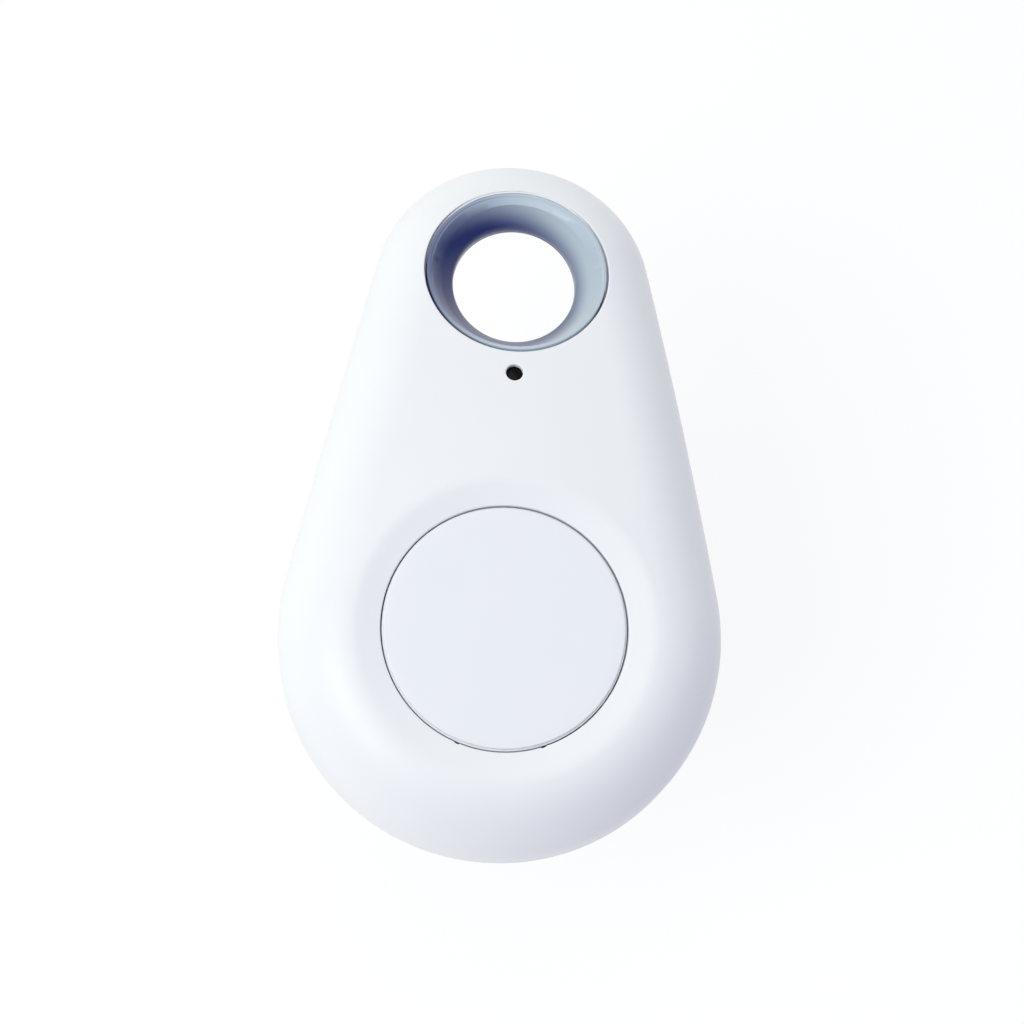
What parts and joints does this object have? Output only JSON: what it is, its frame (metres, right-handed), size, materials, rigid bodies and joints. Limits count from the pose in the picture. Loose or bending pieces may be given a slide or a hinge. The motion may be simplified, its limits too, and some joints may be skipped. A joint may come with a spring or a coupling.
{
  "type": "bluetooth tracker tag",
  "caption": "Drop-shaped key-finder tag: crowned shell with a lined keyring hole, a recessed round push button, a small indicator window and a coin-cell radio board inside.",
  "frame": {"origin": "under the middle of the tag's box, in the plane of the flat land on its back", "axes": "+Z out of the front face, +Y towards the keyring hole, +X to the right seen from the front"},
  "size_m": [0.031, 0.0515, 0.011],
  "materials": {
    "shell": "satin moulded white ABS",
    "button": "fine satin moulded white ABS",
    "liner": "polished moulded blue-grey plastic",
    "smoked_lens": "polished smoked acrylic",
    "board": "green solder mask over glass-fibre board",
    "copper": "bright copper",
    "spring_metal": "nickel-plated spring steel",
    "chip_epoxy": "matte black moulded epoxy",
    "nickel_can": "nickel-plated steel",
    "ceramic_chip": "fired brown ceramic with tinned ends",
    "ferrite": "sintered dark ferrite",
    "lamp_white": "white moulded resin",
    "clear_resin": "clear cast resin",
    "black_plastic": "black moulded nylon",
    "solder": "tinned",
    "iron": "soft iron",
    "cell_steel": "bright drawn stainless steel",
    "cell_seal": "moulded polypropylene",
    "cathode": "pressed black powder",
    "lithium": "soft bright metal"
  },
  "bodies": {
    "housing": {"front_shell": "shell", "keyring_liner": "liner", "indicator_lens": "smoked_lens", "circuit_board": "board", "antenna_trace": "copper", "positive_clip": "spring_metal", "negative_contact": "spring_metal", "radio_chip": "chip_epoxy", "crystal_can": "nickel_can", "capacitors": "ceramic_chip", "resistors": "chip_epoxy", "coil_inductor": "ferrite", "lamp_base": "lamp_white", "lamp_lens": "clear_resin", "switch_base": "black_plastic", "switch_cover": "spring_metal", "snap_dome": "spring_metal", "switch_legs": "solder", "sounder_case": "black_plastic", "sounder_base": "nickel_can", "sounder_pole": "iron", "sounder_coil": "copper", "sounder_magnet": "ferrite", "sounder_diaphragm": "spring_metal"},
    "button": {"button_cap": "button"},
    "plunger": {"switch_plunger": "black_plastic"},
    "cover": {"back_cover": "shell"},
    "cell": {"cell_can": "cell_steel", "cell_seal": "cell_seal", "cell_cap": "cell_steel", "cathode_pellet": "cathode", "lithium_disc": "lithium"}
  },
  "joints": [
    {"name": "button_press", "type": "hinge", "parent": "housing", "child": "button", "pos_m": [0, -0.02121, 0.00743], "axis": [-1, 0, 0], "range_deg": [0, 1.6], "stiffness_Nm_per_rad": 0.6},
    {"name": "plunger_travel", "type": "slide", "parent": "housing", "child": "plunger", "axis": [0, 0, -1], "range_m": [0, 0.0003], "deforming": ["snap_dome"]},
    {"name": "cover_lift", "type": "slide", "parent": "housing", "child": "cover", "axis": [0, 0, -1], "range_m": [0, 0.03]},
    {"name": "cell_slide", "type": "slide", "parent": "housing", "child": "cell", "axis": [0, 0, -1], "range_m": [0, 0.016]}
  ],
  "couplings": [
    {"joint": "plunger_travel", "follows": "button_press", "m_per_rad": 0.01026},
    {"joint": "cell_slide", "follows": "cover_lift", "ratio": 0.5}
  ]
}
